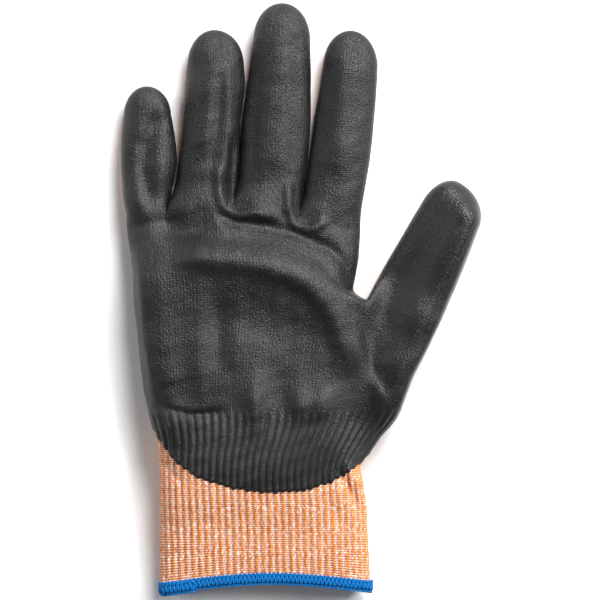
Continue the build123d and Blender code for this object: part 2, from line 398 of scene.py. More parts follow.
def relax(points, weight, rounds):
    """Evens out the grid where weight is above 0."""
    edges = sides_of(*quads_and_tris(faces))
    a = np.concatenate([edges[:, 0], edges[:, 1]])
    b = np.concatenate([edges[:, 1], edges[:, 0]])
    count = np.bincount(a, minlength=len(points))[:, None]
    for _ in range(rounds):
        mean = np.stack([np.bincount(a, points[b, k], len(points)) for k in range(3)], axis=1) / count
        points = points + (mean - points) * weight[:, None]
    return points


def normals(points):
    """The grid's outward direction at each point."""
    total = np.zeros_like(points)
    a, b, c, d = corners()
    face_way = np.cross(points[c] - points[a], points[d] - points[b])
    for corner in (a, b, c, d):
        for k in range(3):
            total[:, k] += np.bincount(corner, face_way[:, k], len(points))
    return total / np.maximum(np.linalg.norm(total, axis=1), 1e-12)[:, None]


def near(points, spots, reach):
    """1 at each spot, fading to 0 at reach from it, across X and Y."""
    gap = np.min([np.hypot(points[:, 0] - x, points[:, 1] - y) for x, y in spots], axis=0)
    return smooth(1 - gap / reach)


def fold(xy, line, width, height, other_width=None, ends=8.0):
    """A ridge (or a furrow, below 0) along a line. other_width is its width on the line's left."""
    line = np.array(line, float)
    best = np.full(len(xy), 1e9)
    side = np.zeros(len(xy))
    along = np.zeros(len(xy))
    run = 0.0
    for a, b in zip(line, line[1:]):
        way = b - a
        length = np.linalg.norm(way)
        way /= length
        t = np.clip((xy - a) @ way, 0, length)
        off = xy - a - t[:, None] * way
        gap = np.linalg.norm(off, axis=1)
        closer = gap < best
        best = np.where(closer, gap, best)
        side = np.where(closer, way[0] * off[:, 1] - way[1] * off[:, 0], side)
        along = np.where(closer, run + t, along)
        run += length
    spread = np.where(side > 0, other_width or width, width)
    taper = smooth(along / ends) * smooth((run - along) / ends)
    return height * np.exp(-(best / spread) ** 2) * taper


def mound(xy, centre, size, height, turn=0.0):
    """A soft swelling (or a dent, below 0)."""
    c, s = math.cos(math.radians(turn)), math.sin(math.radians(turn))
    off = xy - np.array(centre)
    u = (off[:, 0] * c + off[:, 1] * s) / size[0]
    v = (-off[:, 0] * s + off[:, 1] * c) / size[1]
    return height * np.exp(-(u * u + v * v))


def brow_and_bowl(xy):
    """The brow across the palm and down beside the thumb, the bowl under it, and the heel's swell."""
    brow = [(-56, 16.5), (-42, 17), (-28, 16), (-15, 13.8), (-5, 10.8), (2.5, 7), (10, -1), (15, -11),
            (18.8, -21), (22, -33)]
    rise = fold(xy, brow, 4.0, 2.4, 7.0, 16)
    rise += fold(xy, brow[:6], 14.0, 1.6, 12.0, 22)
    rise += mound(xy, (-8, -12), (27, 15), -3.4, -24)
    rise += mound(xy, (-16, -70), (36, 18), 3.0)
    return rise


def finger_roots(xy):
    """The valley under the fingers and its lips round the crotches."""
    valley = [(-36, 38), (-29.3, 32.8), (-12.4, 30.3), (1.5, 26.5), (12.8, 21), (18.0, 15.6), (20.0, 10.5),
              (20.6, 6)]
    shelf = [(-60, 27.5), (-42, 27.5), (-28, 26.5), (-12, 26), (-1, 22.5), (8, 17.5), (14, 10)]
    ring_lip = [(-34.5, 58), (-34.2, 46), (-32.2, 38.2), (-26.5, 35.8), (-18, 36.2), (-8, 34.8)]
    middle_lip = [(-5.2, 52), (-4.8, 38), (-2.4, 31.4), (3.2, 29.4), (8.6, 31.8), (14, 33)]
    little_side = [(-59, 82), (-62.2, 74), (-65.2, 65), (-66.3, 56), (-64.8, 47), (-62.3, 40), (-59.5, 35.5)]
    rise = fold(xy, valley, 2.8, -2.0, 3.0, 6)
    rise += fold(xy, shelf, 5.0, -1.7, 7.0, 12)
    rise += fold(xy, [(-63, 28), (-52, 29), (-42, 30), (-33, 33)], 4.0, -1.5, 8.0, 9)
    rise += fold(xy, ring_lip, 1.9, 2.0, 2.4, 6)
    rise += fold(xy, middle_lip, 1.9, 1.8, 2.2, 6)
    rise += fold(xy, [(-28.2, 72), (-29.4, 54), (-29.2, 44), (-27.2, 39.4)], 1.7, -1.8, None, 8)
    rise += fold(xy, little_side, 3.0, -2.2, 5.0, 9)
    rise += mound(xy, (-59.5, 58), (4.0, 13), 0.7, -8)
    return rise


def outer_palm(xy):
    """The ridge and dents on the little finger's side of the palm."""
    rise = fold(xy, [(-68, 26), (-66.5, 4), (-64.8, -18), (-62, -37), (-59, -45)], 2.4, 3.8, 13.0, 18)
    rise += mound(xy, (-56, -50), (9, 14), 3.6, 4)
    rise += mound(xy, (-50, -18), (3.4, 24), -0.4)
    rise += mound(xy, (-42.5, -30), (3.4, 13), 0.5, 3)
    rise += fold(xy, [(-34.5, 12), (-34.6, -10), (-34.2, -24), (-32, -38)], 4.4, -1.9, None, 20)
    return rise


def heel(xy):
    """Bulges over the heel of the hand."""
    rise = mound(xy, (-19.5, -43), (4.4, 10), 3.0)
    rise += mound(xy, (-8, -38), (4.0, 9), -0.8, 6)
    rise += mound(xy, (0, -44), (4.4, 7), 2.4, -15)
    rise += mound(xy, (9, -44), (4.4, 7), 2.4, -25)
    rise += mound(xy, (25, -52), (9, 13), -2.2)
    rise += fold(xy, [(-61, -38), (-57, -45), (-46, -48), (-27, -46.5)], 2.2, -1.2, 1.6, 12)
    return rise


def thumb_root(xy):
    """Dents, a ridge along the thumb, and fine ripples round the thumb's root."""
    rise = mound(xy, (37, -17), (9, 12), -1.6, -27)
    rise += mound(xy, (35, -2), (8.5, 12), -3.6)
    rise += fold(xy, [(20.5, 4), (27, 5.2), (34, 6.4)], 1.1, -0.9, None, 4)
    rise += fold(xy, [(36, -40), (43, -20), (51, 0), (62, 22), (76, 50)], 5.5, 1.2, None, 14)
    rise += fold(xy, [(23, 1), (25.5, -8), (28, -18), (31, -29), (41, -45)], 2.6, -1.8, 5.5, 16)
    x, y = xy.T
    rippled = smooth(1.4 - np.hypot((x - 22.0) / 8, (y + 21) / 13))
    rise += 0.3 * rippled * np.sin(2 * math.pi * (y - 0.45 * x + 0.02 * x ** 2) / 2.2)
    return rise


def cuff_slack(xy):
    """Slanting slack at both sides of the cuff."""
    rise = fold(xy, [(15, -70), (20, -78), (26, -92)], 1.8, -1.7, None, 8)
    rise += fold(xy, [(17, -66), (23, -75), (28, -84)], 2.0, 1.4, None, 7)
    rise += fold(xy, [(8, -78), (14, -88), (19, -100)], 2.6, -0.8, None, 9)
    rise += fold(xy, [(-62, -64), (-55, -70), (-48, -79)], 2.0, -0.8, None, 7)
    return rise


def palm_relief(xy):
    """How the empty glove's palm side rises and falls."""
    parts = (brow_and_bowl, finger_roots, outer_palm, heel, thumb_root, cuff_slack)
    return sum(part(xy) for part in parts)


# Slack down each finger: (line, width, height, other width)
FINGER_FOLDS = {
    "ring": [([(-34.5, 118), (-36.5, 98), (-37.8, 80), (-41, 58)], 3.4, 1.0, 3.4),
             ([(-33.0, 96), (-35.2, 76), (-38.4, 54)], 2.6, -1.0, 2.6),
             ([(-30.0, 106), (-30.2, 84), (-29.6, 66), (-33.6, 46)], 3.0, 1.1, 3.0)],
    "middle": [([(-9, 124), (-11, 98), (-12, 76), (-12, 48)], 4.5, 1.4, 7.0),
               ([(-19, 112), (-20, 84), (-20.5, 56)], 4.0, -0.9, 4.0),
               ([(-16, 84), (-17, 64), (-16.6, 44)], 2.2, 0.6, 2.2)],
    "index": [([(20, 114), (18.5, 92), (16, 72), (14, 48)], 4.5, 1.2, 8.0),
              ([(12.5, 106), (10, 82), (8.0, 58)], 4.0, -0.8, 4.0)],
    "little": [([(-62, 87), (-67, 82), (-71, 73)], 3.6, 0.5, 3.6)],
}


def finger_relief(points, name):
    """Soft creases across a finger and slack down its length."""
    stations, tip, middle_y = FINGERS[name]
    xy = points[:, :2]
    rows = np.array(stations)
    mid = np.interp(xy[:, 1], rows[:, 0], (rows[:, 1] + rows[:, 2]) / 2)
    half = np.interp(xy[:, 1], rows[:, 0], (rows[:, 2] - rows[:, 1]) / 2)
    across = (xy[:, 0] - mid) / half
    phase = sum(ord(c) for c in name) % 7
    rise = 0.0
    for k, y in enumerate((middle_y - 21, middle_y, middle_y + 17)):
        sway = 2.4 * np.sin(1.7 * across + k + phase)
        rise = rise - 0.2 * np.exp(-((xy[:, 1] - y - sway) / 2.6) ** 2) * (1 - 0.6 * np.abs(across))
    for line, width, height, other in FINGER_FOLDS[name]:
        rise = rise + fold(xy, line, width, height, other, 12.0)
    return rise * smooth((xy[:, 1] - 45) / 14) * smooth((tip[1] - 8 - xy[:, 1]) / 10)


def thumb_relief(points):
    """The thumb and its ball lie rolled towards the fingers: low beside the palm, highest outside."""
    along, across = points @ THUMB_AXIS, points @ THUMB_ACROSS
    slant = 4.4 * (across - 38.0) / 14.0
    low = smooth((across - 20.0) / 17.0)
    tip = smooth((THUMB[1][1] - 3.0 - along) / 8.0) * smooth((along + 36.0) / 22.0)
    rolled = 0.5 * np.exp(-((across - 50.0 + 0.02 * along) / 1.6) ** 2)
    nail = -0.2 * np.exp(-((along - 58.0 - 0.03 * (across - 40.0) ** 2) / 3.5) ** 2)
    return (slant * low + rolled + nail) * tip * low


def thumb_lift(points, share):
    """How far the whole thumb lies off the table: nothing at its root, most at its tip."""
    return 4.4 * share * smooth((points @ THUMB_AXIS + 14.0) / 72.0)


def hem_sag(x):
    """How far the cuff's edge hangs below its middle, along -Y."""
    return 4.4 * np.abs((x + 12.0) / 45.0) ** 1.8


# Which points are a finger's or the thumb's
of_finger = np.full(len(cloth), -1)
for i, name in enumerate(FINGERS):
    of_finger[points_of(name)] = i
of_thumb = np.zeros(len(cloth), bool)
of_thumb[points_of("thumb")] = True

# The empty glove's relief: on the palm side only, but for the thumb's lift and a little slack
cloth = relax(cloth, 0.6 * near(cloth, [*CROTCHES, THUMB_CROTCH], 13.0) * smooth((cloth[:, 1] + 30) / 10), 10)
facing_up = smooth((normals(cloth)[:, 2] - 0.05) / 0.5)
relief = palm_relief(cloth[:, :2])
for i, name in enumerate(FINGERS):
    mine = of_finger == i
    relief[mine] += finger_relief(cloth[mine], name)
relief += smooth((cloth[:, 0] - 26.0) / 8.0) * thumb_relief(cloth)
relief -= 2.2 * near(cloth, CROTCHES, 10.0)
# The thumb takes all of its lift, and its ball and the palm beside it a share
ball = smooth((cloth[:, 0] - 14.0) / 14.0) * smooth((10.0 - cloth[:, 1]) / 10.0)
raised = np.where(of_thumb, 1.0, ball)
cloth[:, 2] += thumb_lift(cloth, raised)
cloth[:, 2] += facing_up * relief
slack = facing_up * 0.28 * wave(cloth, 24.0, 3) + 0.12 * wave(cloth, 9.0, 5) * (0.3 + 0.7 * facing_up)
cloth[:, 2] += (1 - 0.8 * of_thumb) * slack
cloth = relax(cloth, 0.5 * smooth((cloth[:, 1] + 48) / 6), 3)
cloth[:, 2] = np.maximum(cloth[:, 2], 0.15)
cloth[:, 1] -= hem_sag(cloth[:, 0]) * smooth((-96.0 - cloth[:, 1]) / 24.0)

# Where the coating is: above 0 inside it, in mm from its edge
side_start = np.where(cloth[:, 0] < -16, -49.0, -60.0)
side_z = SIDE_Z + 6.0 * smooth((side_start - cloth[:, 1]) / 9.0) + 0.5 * wave(cloth, 16.0, 11)
coat = cloth[:, 2] - side_z - thumb_lift(cloth, raised)
for i, (_, tip, _) in enumerate(FINGERS.values()):
    past = cloth[:, 1] - (tip[1] - WRAP) + 0.6 * wave(cloth, 12.0, 12)
    coat = np.where(of_finger == i, np.maximum(coat, past), coat)
coat = np.where(of_thumb, np.maximum(coat, cloth @ THUMB_AXIS - (THUMB[1][1] - WRAP)), coat)
rib_wave = np.cos(2 * math.pi * wale / WALES_PER_RIB)
dip = cloth[:, 1] - table(DIP, cloth[:, 0]) + 0.3 * rib_wave + 0.3 * wave(cloth, 5.0, 13)
coat = np.where(cloth[:, 1] < -40, np.minimum(coat, dip), coat)
coat += 3.0 * near(cloth, CROTCHES, 6.0) + 4.0 * near(cloth, [(25.0, 2.0)], 9.0)
cover = smooth((coat + 0.5) / 1.1)

# Ribs, flatter at the hem and a little under the coating
rib_depth = smooth((RIBS_FROM - cloth[:, 1]) / 5.0) * (0.38 - 0.04 * cover)
calm = smooth((-112.0 - cloth[:, 1]) / 5.0)
cloth = cloth + normals(cloth) * (rib_wave * rib_depth * (1 - 0.5 * calm))[:, None]

# Outer and inner faces of coating and knit: the coating stands proud, with a bead along its edge
outward = normals(cloth)
bead = 0.12 * np.exp(-((coat - 1.1) / 0.8) ** 2)
SKIN = cloth + outward * ((COAT_OVER - 0.1) * cover - 0.3 * (1 - cover) + bead * cover)[:, None]
KNIT = cloth - outward * (0.15 * cover)[:, None]
KNIT_IN = KNIT - outward * LINER_THICK
SKIN_IN = cloth - outward * COAT_UNDER - outward * 0.15
KNIT_WAY, SKIN_WAY = normals(KNIT), normals(SKIN)


def new_mesh(name, points, polygons, directions=None, layers=None):
    """A mesh object from points in mm, smooth, with stored directions and attributes."""
    mesh = bpy.data.meshes.new(name)
    mesh.from_pydata((points * 0.001).tolist(), [], polygons)
    mesh.polygons.foreach_set("use_smooth", [True] * len(mesh.polygons))
    for key, values in (layers or {}).items():
        layer = mesh.attributes.new(key, "FLOAT_VECTOR", "POINT")
        layer.data.foreach_set("vector", np.asarray(values, np.float32).ravel())
    mesh.update()
    if directions is not None:
        mesh.normals_split_custom_set_from_vertices(directions.tolist())
    obj = bpy.data.objects.new(name, mesh)
    bpy.context.scene.collection.objects.link(obj)
    return obj


def shell(name, chosen, outer, inner, way):
    """A closed piece of cloth: the chosen faces, the same again inside, and a rim round them."""
    picked = faces[chosen]
    used = np.unique(picked[picked >= 0])
    new = np.full(len(cloth) + 1, -1)
    new[used] = np.arange(len(used))
    n = len(used)
    quads, tris = quads_and_tris(new[picked])
    polygons = quads.tolist() + tris.tolist()
    polygons += (quads[:, ::-1] + n).tolist() + (tris[:, ::-1] + n).tolist()
    sides = sides_of(quads, tris)
    key = np.sort(sides, axis=1) @ np.array([n + 1, 1])
    _, first, uses = np.unique(key, return_index=True, return_counts=True)
    for a, b in sides[first[uses == 1]]:
        polygons.append([int(b), int(a), int(a) + n, int(b) + n])
    points = np.concatenate([outer[used], inner[used]])
    directions = np.concatenate([way[used], -way[used]])
    knit = np.stack([wale[used], course[used] * COURSE / STITCH_ROW, coat[used]], axis=1)
    layers = {"knit": np.concatenate([knit, knit]), "rest": np.concatenate([outer[used], inner[used]])}
    return new_mesh(name, points, polygons, directions, layers)


def strip(grid, closed):
    """Faces between the rings of a grid of indices; closed joins its last ring to its first."""
    here = grid if closed else grid[:-1]
    ahead = np.roll(grid, -1, axis=0) if closed else grid[1:]
    around = [here, np.roll(here, -1, axis=1), np.roll(ahead, -1, axis=1), ahead]
    return np.stack(around, axis=2).reshape(-1, 4)


def thread_frame(path, closed):
    """Two directions across a path at each of its points, square to it and to each other."""
    if closed:
        way = np.roll(path, -1, axis=0) - np.roll(path, 1, axis=0)
    else:
        ahead = np.vstack([path[1:], 2 * path[-1] - path[-2]])
        way = ahead - np.vstack([2 * path[0] - path[1], path[:-1]])
    way /= np.linalg.norm(way, axis=1)[:, None]
    up = np.array([0, 1.0, 0]) - way * way[:, 1:2]
    short = np.linalg.norm(up, axis=1) < 0.3
    up[short] = np.array([0, 0, 1.0]) - way[short] * way[short, 2:3]
    up /= np.linalg.norm(up, axis=1)[:, None]
    return up, np.cross(way, up)


def tubes(name, paths, radius, closed=True, sides=7):
    """Threads of round section along paths of points; closed paths join up end to start."""
    points, polygons, layers, count = [], [], [], 0
    turn = np.linspace(0, 2 * math.pi, sides, endpoint=False)
    cosines, sines = np.cos(turn)[None, :, None], np.sin(turn)[None, :, None]
    for path in paths:
        n = len(path)
        up, other = thread_frame(path, closed)
        rings = path[:, None] + radius * (cosines * up[:, None] + sines * other[:, None])
        points.append(rings.reshape(-1, 3))
        length, share = run_along(path)[:, None], turn[None] / (2 * math.pi)
        measures = np.broadcast_arrays(length, share, np.zeros((n, sides)))
        layers.append(np.stack(measures, axis=2).reshape(-1, 3))
        grid = np.arange(n * sides).reshape(n, sides) + count
        polygons += strip(grid, closed)[:, ::-1].tolist()
        if not closed:
            polygons += [grid[0].tolist(), grid[-1][::-1].tolist()]
        count += n * sides
    return new_mesh(name, np.concatenate(points), polygons, None, {"knit": np.concatenate(layers)})


EDGE_LEFT, EDGE_RIGHT, EDGE_Y = -58.9, 29.6, -121.0
EDGE_RING = section(EDGE_LEFT, EDGE_RIGHT, table(HEIGHT, EDGE_Y), 3.6, (240, 0, 240, 0), 0)
EDGE_POINTS = np.vstack([EDGE_RING, EDGE_RING[:1]])
EDGE_RUN = run_along(EDGE_POINTS)
EDGE_LENGTH = EDGE_RUN[-1]
HEM_TOP, HEM_LOW = -115.0, -118.9
STITCH = EDGE_LENGTH / round(EDGE_LENGTH / 1.75)


def edge_at(s):
    """Points (x, z) on the cuff's edge at arc lengths s (mm) round it."""
    at = np.mod(s, EDGE_LENGTH)
    return np.stack([np.interp(at, EDGE_RUN, EDGE_POINTS[:, k]) for k in (0, 1)], axis=1)


def edge_frame(s):
    """x and z on the cuff's edge at arc lengths s (mm) round it, and the outward directions there."""
    at = np.mod(s, EDGE_LENGTH)
    way = edge_at(at + 0.4) - edge_at(at - 0.4)
    way /= np.linalg.norm(way, axis=1)[:, None]
    x, z = edge_at(at).T
    return x, z, np.stack([-way[:, 1], way[:, 0]], axis=1)


def on_edge(s, y, out):
    """3-D points at arc length s, distance y along the cuff and height out over its outer face."""
    x, z, way = edge_frame(s)
    px, pz = x + way[:, 0] * out, z + way[:, 1] * out
    return np.stack([px, y - hem_sag(x), np.maximum(pz, 0.45)], axis=1)


def rounded(path, per):
    """A smooth closed path through points, with per points from each to the next."""
    a, b, c, d = (np.roll(path, k, axis=0)[:, None] for k in (1, 0, -1, -2))
    t = np.linspace(0, 1, per, endpoint=False)[None, :, None]
    square, cube = 2 * a - 5 * b + 4 * c - d, 3 * b - a - 3 * c + d
    out = 0.5 * (2 * b + (c - a) * t + square * t ** 2 + cube * t ** 3)
    return out.reshape(-1, 3)


def overlock(name, s_from, s_to, shift, lift, closed):
    """Overlock stitching: strands zigzag over the edge, with a looped chain at top and bottom."""
    count = int(round((s_to - s_from) / STITCH))
    s = s_from + STITCH * np.arange(count)
    jig = RNG.uniform(-0.1, 0.1, (count, 4))
    # Where a strand goes in one stitch: (share of the stitch, y, height over the cuff's outer face)
    stops = [(0.0, HEM_TOP, 0.42), (0.2, HEM_TOP - 1.5, 0.75), (0.4, HEM_LOW + 0.9, 0.72),
             (0.46, HEM_LOW - 0.1, 0.3), (0.48, HEM_LOW - 0.4, -0.5), (0.5, HEM_LOW + 0.2, -1.4),
             (0.52, HEM_TOP - 1.2, -1.75), (0.54, HEM_LOW + 0.6, -1.5), (0.56, HEM_LOW - 0.4, -0.6),
             (0.58, HEM_LOW - 0.1, 0.25), (0.64, HEM_LOW + 0.9, 0.68), (0.82, HEM_TOP - 1.5, 0.7)]
    over = [on_edge(s + STITCH * share + jig[:, 0] * 0.4, y + shift + jig[:, i % 4], out + lift)
            for i, (share, y, out) in enumerate(stops)]
    main = rounded(np.stack(over, axis=1).reshape(-1, 3), 2)
    fine = s_from + STITCH * np.arange(count * 4) / 4
    beat = np.arange(count * 4) * math.pi / 2
    chain_y = HEM_TOP + 0.1 + 0.34 * np.cos(beat) + shift
    chain = rounded(on_edge(fine, chain_y, 0.62 + lift + 0.2 * np.cos(2 * beat)), 2)
    rim_y = HEM_LOW - 0.25 + 0.26 * np.cos(beat) + shift
    rim = rounded(on_edge(fine, rim_y, 0.1 + lift + 0.3 * np.sin(beat)), 2)
    inner = rounded(on_edge(fine, HEM_TOP - 0.5 + 0.4 * np.sin(beat) + shift, -1.75 + lift), 2)
    paths = [main, chain, rim, inner]
    if not closed:
        paths = [p[:-2] for p in paths]
    return tubes(name, paths, 0.41, closed)


def band(name, s, profile):
    """A flat closed band under the stitching; profile is its section, (y, height) in turn."""
    loops = np.stack([on_edge(s, y, out) for y, out in profile], axis=1)
    n, m = loops.shape[:2]
    polygons = strip(np.arange(n * m).reshape(n, m), True).tolist()
    run = np.broadcast_to(s[:, None, None], (n, m, 3)).reshape(-1, 3)
    return new_mesh(name, loops.reshape(-1, 3), polygons, None, {"knit": run})


# Materials


def node_tree(name, color, rough):
    """A new material with a base colour and roughness: the material, its node tree and its shader."""
    mat = bpy.data.materials.new(name)
    mat.use_nodes = True
    shader = mat.node_tree.nodes["Principled BSDF"]
    shader.inputs["Base Color"].default_value = (*color, 1)
    shader.inputs["Roughness"].default_value = rough
    mat.diffuse_color = (*color, 1)
    return mat, mat.node_tree, shader


def feed(tree, socket, value):
    """Gives a socket a number, a colour or another socket."""
    if isinstance(value, (int, float)):
        socket.default_value = value
    elif isinstance(value, tuple):
        socket.default_value = (*value, 1)
    else:
        tree.links.new(value, socket)


def math_node(tree, kind, *values, clamp=False):
    """One maths step; values are numbers or sockets."""
    node = tree.nodes.new("ShaderNodeMath")
    node.operation = kind
    node.use_clamp = clamp
    for socket, value in zip(node.inputs, values):
        feed(tree, socket, value)
    return node.outputs[0]


def times(tree, a, b, clamp=False):
    """a times b."""
    return math_node(tree, "MULTIPLY", a, b, clamp=clamp)


def plus(tree, a, b, clamp=False):
    """a plus b."""
    return math_node(tree, "ADD", a, b, clamp=clamp)


def scaled(tree, value, factor, offset, clamp=False):
    """value times factor, plus offset."""
    return math_node(tree, "MULTIPLY_ADD", value, factor, offset, clamp=clamp)


def away_from(tree, value, centre):
    """How far a value is from the centre, either way."""
    return math_node(tree, "ABSOLUTE", math_node(tree, "SUBTRACT", value, centre))


def sine(tree, value, per):
    """A wave from -1 to 1 with the given period."""
    return math_node(tree, "SINE", times(tree, value, 2 * math.pi / per))


def attribute(tree, name):
    """(whole vector, x, y, z) of a stored attribute."""
    node = tree.nodes.new("ShaderNodeAttribute")
    node.attribute_name = name
    split = tree.nodes.new("ShaderNodeSeparateXYZ")
    tree.links.new(node.outputs["Vector"], split.inputs[0])
    return node.outputs["Vector"], *split.outputs


def joined(tree, x, y, z=0.0):
    """A vector from three numbers or sockets."""
    node = tree.nodes.new("ShaderNodeCombineXYZ")
    for socket, value in zip(node.inputs, (x, y, z)):
        feed(tree, socket, value)
    return node.outputs[0]


def noise(tree, vector, scale, detail=3.0, rough=0.55):
    """Noise from 0 to 1, with about scale blotches to one unit of the vector."""
    node = tree.nodes.new("ShaderNodeTexNoise")
    node.inputs["Scale"].default_value = scale
    node.inputs["Detail"].default_value = detail
    node.inputs["Roughness"].default_value = rough
    tree.links.new(vector, node.inputs["Vector"])
    return node.outputs["Fac"]


def fabric_noise(tree, across, along, factors, z=0.0, scale=1.0, detail=2.0, rough=0.55):
    """Noise over two measures of the fabric, each times its own factor."""
    place = joined(tree, times(tree, across, factors[0]), times(tree, along, factors[1]), z)
    return noise(tree, place, scale, detail, rough)


def cells(tree, vector, scale):
    """Distance to scattered points."""
    node = tree.nodes.new("ShaderNodeTexVoronoi")
    node.inputs["Scale"].default_value = scale
    tree.links.new(vector, node.inputs["Vector"])
    return node.outputs["Distance"]


def ramp(tree, value, stops):
    """Colour by value, from (value, colour) stops."""
    node = tree.nodes.new("ShaderNodeValToRGB")
    while len(node.color_ramp.elements) < len(stops):
        node.color_ramp.elements.new(0.5)
    for element, (at, colour) in zip(node.color_ramp.elements, stops):
        element.position = at
        element.color = (*colour, 1)
    tree.links.new(value, node.inputs[0])
    return node.outputs["Color"]


def mixed(tree, share, a, b):
    """Colour a to colour b."""
    node = tree.nodes.new("ShaderNodeMix")
    node.data_type = "RGBA"
    for slot_index, value in ((0, share), (6, a), (7, b)):
        feed(tree, node.inputs[slot_index], value)
    return node.outputs[2]


def bump(tree, shader, steps):
    """Fine relief: (height, depth in metres) one over the other."""
    last = None
    for height, depth in steps:
        node = tree.nodes.new("ShaderNodeBump")
        node.inputs["Strength"].default_value = 1.0
        node.inputs["Distance"].default_value = depth
        tree.links.new(height, node.inputs["Height"])
        if last is not None:
            tree.links.new(last, node.inputs["Normal"])
        last = node.outputs["Normal"]
    tree.links.new(last, shader.inputs["Normal"])


def foam_material():
    """Black micro-foam: a fine wrinkled skin, worn shinier in patches, over the fabric's wales."""
    mat, tree, shader = node_tree("foam_coating", (0.009, 0.009, 0.0095), 0.4)
    rest, sideways, _, _ = attribute(tree, "rest")
    _, col, row, _ = attribute(tree, "knit")
    grain = noise(tree, rest, 1.25, 3.0, 0.6)
    crease = fabric_noise(tree, col, row, (0.55, 0.32), 0.0, 1.3, 3.0, 0.6)
    cell = cells(tree, rest, 1.5)
    patch = noise(tree, rest, 0.09, 3.0)
    streak = fabric_noise(tree, col, row, (0.35, 0.03))
    shade = plus(tree, times(tree, grain, 0.6), times(tree, patch, 0.4))
    black = ramp(tree, shade, [(0.3, (0.005, 0.005, 0.0053)), (0.7, (0.012, 0.012, 0.0125))])
    tree.links.new(black, shader.inputs["Base Color"])
    # The thumb, beyond x = 31 mm, is stretched smoother and a little less shiny
    stretched = times(tree, math_node(tree, "SUBTRACT", sideways, 31.0), 0.09, clamp=True)
    rubbed = scaled(tree, stretched, -0.4, 1.0)
    grain, crease = times(tree, grain, rubbed), times(tree, crease, rubbed)
    gloss = plus(tree, times(tree, patch, 0.5), times(tree, streak, 0.5))
    rough = scaled(tree, gloss, 0.34, scaled(tree, stretched, 0.04, 0.03))
    tree.links.new(scaled(tree, grain, 0.4, rough), shader.inputs["Roughness"])
    shader.inputs["Specular IOR Level"].default_value = 0.4
    net = scaled(tree, sine(tree, row, 1.0), 0.6, sine(tree, col, WALES_PER_RIB / 3))
    bump(tree, shader, [(net, 0.00002), (streak, 0.00016), (crease, 0.00022), (grain, 0.0003),
                        (cell, 0.00012)])
    return mat


def knit_material():
    """Melange knit: V stitches, three wales to a rib, of orange, pale pink and white yarns, with painted
    shade in the gaps between strands, darkest and wine red in the rib's furrows.
    """
    mat, tree, shader = node_tree("melange_knit", (0.7, 0.34, 0.2), 0.85)
    rest = attribute(tree, "rest")[0]
    _, col, row, _ = attribute(tree, "knit")
    # Each stitch is a strand on either side of its wale's middle, falling towards the wale's edges
    wale_no = math_node(tree, "DIVIDE", col, WALES_PER_RIB / 3)
    part = away_from(tree, math_node(tree, "FRACT", wale_no), 0.5)
    slope = scaled(tree, part, 0.5, row)
    which = math_node(tree, "FLOOR", slope)
    strand = math_node(tree, "SINE", times(tree, math_node(tree, "FRACT", slope), math.pi))
    height = times(tree, strand, scaled(tree, sine(tree, part, 1.0), 0.35, 0.65))
    # Yarn colours by their place in the rib, with paler and brighter stitches strewn in
    place = math_node(tree, "FRACT", math_node(tree, "DIVIDE", col, WALES_PER_RIB))
    over = ramp(tree, place, [
        (0.0, (1.0, 0.46, 0.14)), (0.2, (1.0, 0.58, 0.30)), (0.32, (0.95, 0.82, 0.80)),
        (0.44, (0.86, 0.62, 0.60)), (0.58, (0.80, 0.48, 0.44)), (0.72, (1.0, 0.42, 0.08)),
        (1.0, (1.0, 0.46, 0.14))])
    # The under colours are painted shade: the yarn as it looks in shadow between the strands, darkest and
    # wine red in the rib's furrow
    under = ramp(tree, place, [
        (0.0, (0.62, 0.10, 0.003)), (0.3, (0.38, 0.10, 0.06)), (0.42, (0.10, 0.018, 0.026)),
        (0.56, (0.10, 0.018, 0.026)), (0.7, (0.6, 0.08, 0.003)), (1.0, (0.62, 0.10, 0.003))])
    tone = fabric_noise(tree, wale_no, which, (1.1, 3.7), rough=0.7)
    bright = ramp(tree, tone, [
        (0.38, (0.95, 0.34, 0.06)), (0.5, (0.92, 0.48, 0.24)), (0.6, (0.95, 0.82, 0.74))])
    fleck = fabric_noise(tree, wale_no, which, (2.6, 5.3), 4.0, rough=0.7)
    shift = scaled(tree, fleck, 3.0, -1.2, clamp=True)
    yarn = mixed(tree, times(tree, shift, 0.75), over, bright)
    # Painted shade where the strand's height is low, between the strands; yarn colours on the strand tops
    unshaded_share = scaled(tree, height, 3.0, -1.3, clamp=True)
    stitches_with_shade = mixed(tree, unshaded_share, under, yarn)
    # A few plies dyed apart from the rest
    ply = fabric_noise(tree, col, which, (0.55, 3.1), 2.0, detail=1.0)
    dyed = ramp(tree, ply, [
        (0.32, (0.5, 0.09, 0.01)), (0.44, (0.95, 0.3, 0.03)), (0.56, (0.95, 0.6, 0.38)),
        (0.68, (1.0, 0.9, 0.84))])
    far = times(tree, away_from(tree, ply, 0.5), 3.4, clamp=True)
    tree.links.new(mixed(tree, far, stitches_with_shade, dyed), shader.inputs["Base Color"])
    shader.inputs["Specular IOR Level"].default_value = 0.2
    shader.inputs["Sheen Weight"].default_value = 0.1
    shader.inputs["Sheen Roughness"].default_value = 0.5
    fuzz = noise(tree, rest, 5.0, 4.0, 0.7)
    bump(tree, shader, [(height, 0.00022), (fuzz, 0.00008)])
    return mat


def thread_material(name, dark, light, pitch):
    """Plied thread: slanting plies with painted shade in the grooves between them, and fine fibres that vary
    the tone at random.
    """
    mat, tree, shader = node_tree(name, light, 0.6)
    _, run, turn, _ = attribute(tree, "knit")
    ply = sine(tree, scaled(tree, turn, pitch, run), pitch)
    fibre = fabric_noise(tree, run, turn, (2.0, 9.0), scale=2.0, detail=3.0)
    # Painted shade: darker where the ply's height is low, in the grooves; the fibres vary the tone at random
    share = plus(tree, scaled(tree, ply, 0.3, 0.15), times(tree, fibre, 0.8), clamp=True)
    tree.links.new(mixed(tree, share, dark, light), shader.inputs["Base Color"])
    shader.inputs["Specular IOR Level"].default_value = 0.2
    bump(tree, shader, [(ply, 0.00005), (fibre, 0.00005)])
    return mat


